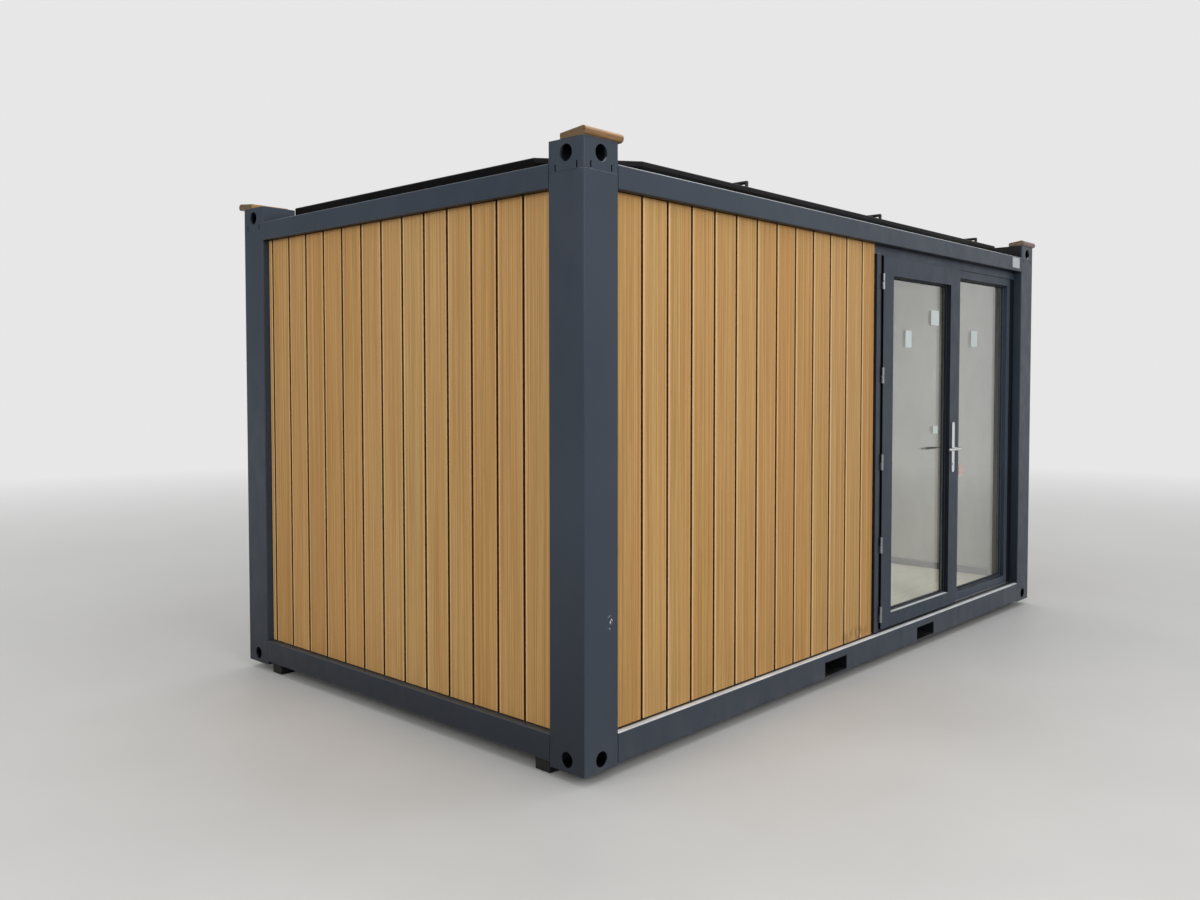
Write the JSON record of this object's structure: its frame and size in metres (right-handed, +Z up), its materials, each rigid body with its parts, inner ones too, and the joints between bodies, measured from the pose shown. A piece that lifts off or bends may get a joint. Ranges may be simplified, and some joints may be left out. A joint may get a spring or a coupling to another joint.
{
  "type": "portable office cabin",
  "caption": "Portable office cabin: steel corner-post frame with upright board cladding, a glazed outward door with fixed side light, fork pockets and a raised flat roof.",
  "frame": {"origin": "on the ground at the middle of the overall plan", "axes": "+X along the length towards the door end, -Y out of the door, +Z up"},
  "size_m": [4.783, 2.825, 2.68],
  "materials": {
    "frame_paint": "satin anthracite paint",
    "cladding": "brushed oak-brown boards",
    "wall_panel": "matt light grey",
    "roof_skin": "matt black",
    "deck_board": "plain",
    "floor_sheet": "satin",
    "under_steel": "matt dark grey",
    "feet": "matt",
    "pads": "rough sawn",
    "loops": "plain",
    "door_profile": "satin anthracite foil",
    "sill": "satin",
    "glass": "clear",
    "hinges": "satin",
    "handles": "polished"
  },
  "bodies": {
    "cabin": {"corner_post_front_left": "frame_paint", "corner_post_front_right": "frame_paint", "corner_post_back_left": "frame_paint", "corner_post_back_right": "frame_paint", "corner_block_front_left": "frame_paint", "corner_block_front_right": "frame_paint", "corner_block_back_left": "frame_paint", "corner_block_back_right": "frame_paint", "front_bottom_rail": "frame_paint", "back_bottom_rail": "frame_paint", "left_bottom_rail": "frame_paint", "right_bottom_rail": "frame_paint", "front_top_rail": "frame_paint", "back_top_rail": "frame_paint", "left_top_rail": "frame_paint", "right_top_rail": "frame_paint", "fork_pockets": "under_steel", "floor_joists": "under_steel", "floor_deck": "deck_board", "floor_covering": "floor_sheet", "support_feet": "feet", "front_wall": "wall_panel", "back_wall": "wall_panel", "left_wall": "wall_panel", "right_wall": "wall_panel", "wall_over_door": "wall_panel", "front_cladding": "cladding", "back_cladding": "cladding", "left_cladding": "cladding", "right_cladding": "cladding", "ceiling": "wall_panel", "roof_panel": "roof_skin", "roof_deck": "roof_skin", "roof_loops": "loops", "corner_pads": "pads", "door_left_jamb": "door_profile", "door_mullion": "door_profile", "door_right_jamb": "door_profile", "door_head": "door_profile", "door_sill": "sill", "door_stops": "door_profile", "fixed_sash": "door_profile", "fixed_glass": "glass", "hinge_pins": "hinges"},
    "door": {"door_leaf": "door_profile", "door_glass": "glass", "hinge_knuckles": "hinges", "handle_plates": "handles"},
    "lever": {"lever_handles": "handles"}
  },
  "joints": [
    {"name": "door_swing", "type": "hinge", "parent": "cabin", "child": "door", "pos_m": [0.118, -1.3535, 1.242], "axis": [0, 0, -1], "range_deg": [0, 105]},
    {"name": "lever_turn", "type": "hinge", "parent": "door", "child": "lever", "pos_m": [1.0775, -1.3475, 1.221], "axis": [0, -1, 0], "range_deg": [0, 40], "stiffness_Nm_per_rad": 1.5, "springref_deg": -11.46}
  ]
}
